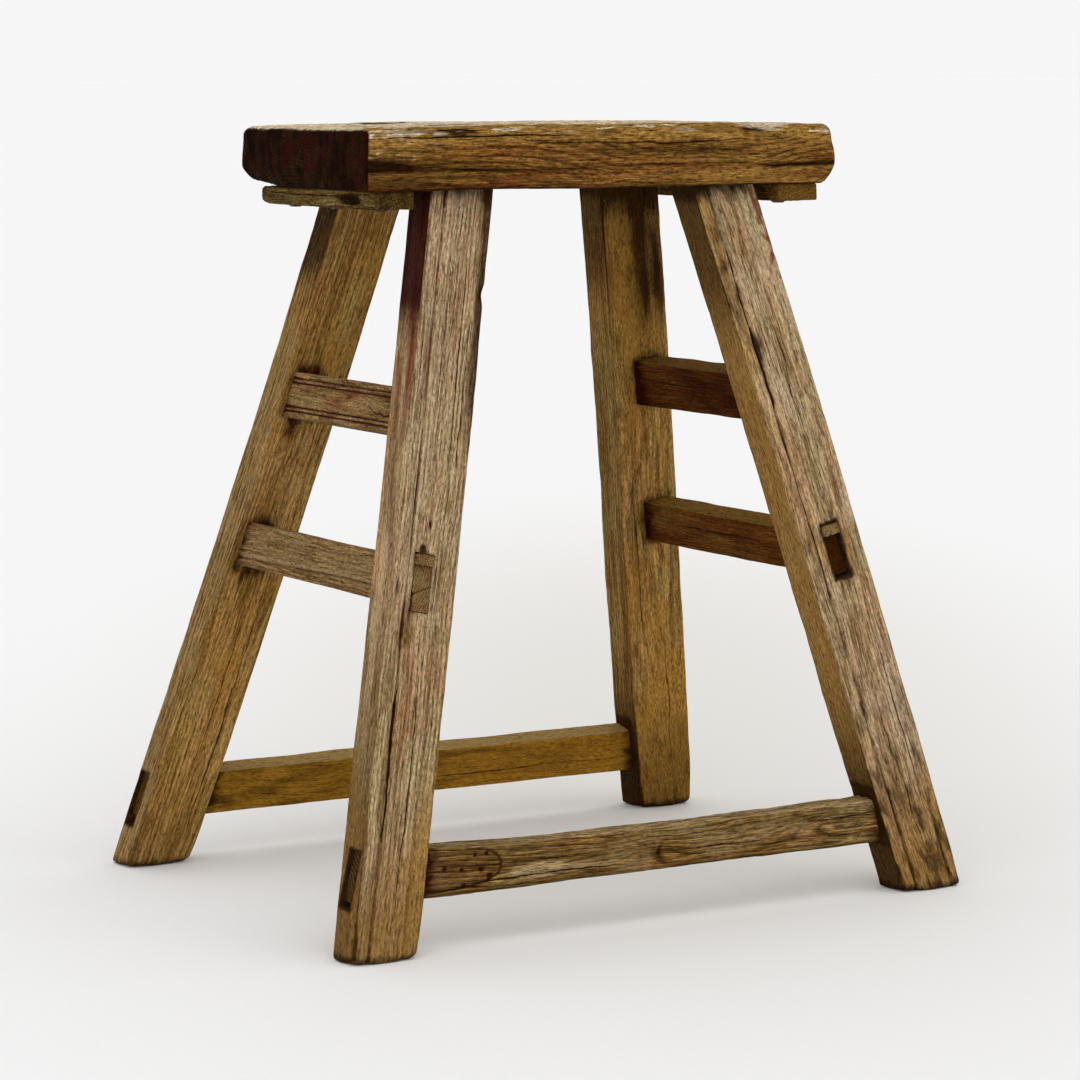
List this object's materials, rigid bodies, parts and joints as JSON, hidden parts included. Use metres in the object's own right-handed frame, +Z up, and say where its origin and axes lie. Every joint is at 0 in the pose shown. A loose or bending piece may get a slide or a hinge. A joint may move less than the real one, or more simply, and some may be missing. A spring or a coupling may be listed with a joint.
{
  "type": "wooden stool",
  "caption": "Splay-legged wooden work stool with a thick plank seat, side rungs, low stretchers and nailed under-seat cleats.",
  "frame": {"origin": "on the floor, midway between the feet", "axes": "+X along the seat's long side, +Y from the front of the stool to the back, +Z up"},
  "size_m": [0.4614, 0.3658, 0.51],
  "materials": {
    "seat_wood": "weathered hardwood plank, worn pale on top, dark end grain",
    "leg_front_wood": "weathered grey-tan hardwood with remains of red lacquer",
    "leg_back_wood": "golden brown hardwood, worn and stained",
    "rung_left_wood": "reddish brown hardwood, worn",
    "rung_right_wood": "dark brown hardwood",
    "stretcher_front_wood": "grey-brown hardwood with raised grain",
    "stretcher_back_wood": "smooth golden brown hardwood",
    "cleat_wood": "greenish-grey weathered hardwood",
    "wedge_wood": "hardwood end grain, darkened",
    "nail_iron": "hand-forged iron, rusted dark"
  },
  "bodies": {
    "root": {"cleat_left": "cleat_wood", "cleat_right": "cleat_wood", "leg_back_left": "leg_back_wood", "leg_back_right": "leg_back_wood", "leg_front_left": "leg_front_wood", "leg_front_right": "leg_front_wood", "nails_cleat_left": "nail_iron", "nails_cleat_right": "nail_iron", "rung_lower_left": "rung_left_wood", "rung_lower_right": "rung_right_wood", "rung_upper_left": "rung_left_wood", "rung_upper_right": "rung_right_wood", "seat_plank": "seat_wood", "stretcher_back": "stretcher_back_wood", "stretcher_front": "stretcher_front_wood", "wedge_rung_back_left": "wedge_wood", "wedge_rung_back_right": "wedge_wood", "wedge_rung_front_left": "wedge_wood", "wedge_rung_front_right": "wedge_wood", "wedge_seat_back_left": "wedge_wood", "wedge_seat_back_right": "wedge_wood", "wedge_seat_front_left": "wedge_wood", "wedge_seat_front_right": "wedge_wood"}
  },
  "joints": []
}
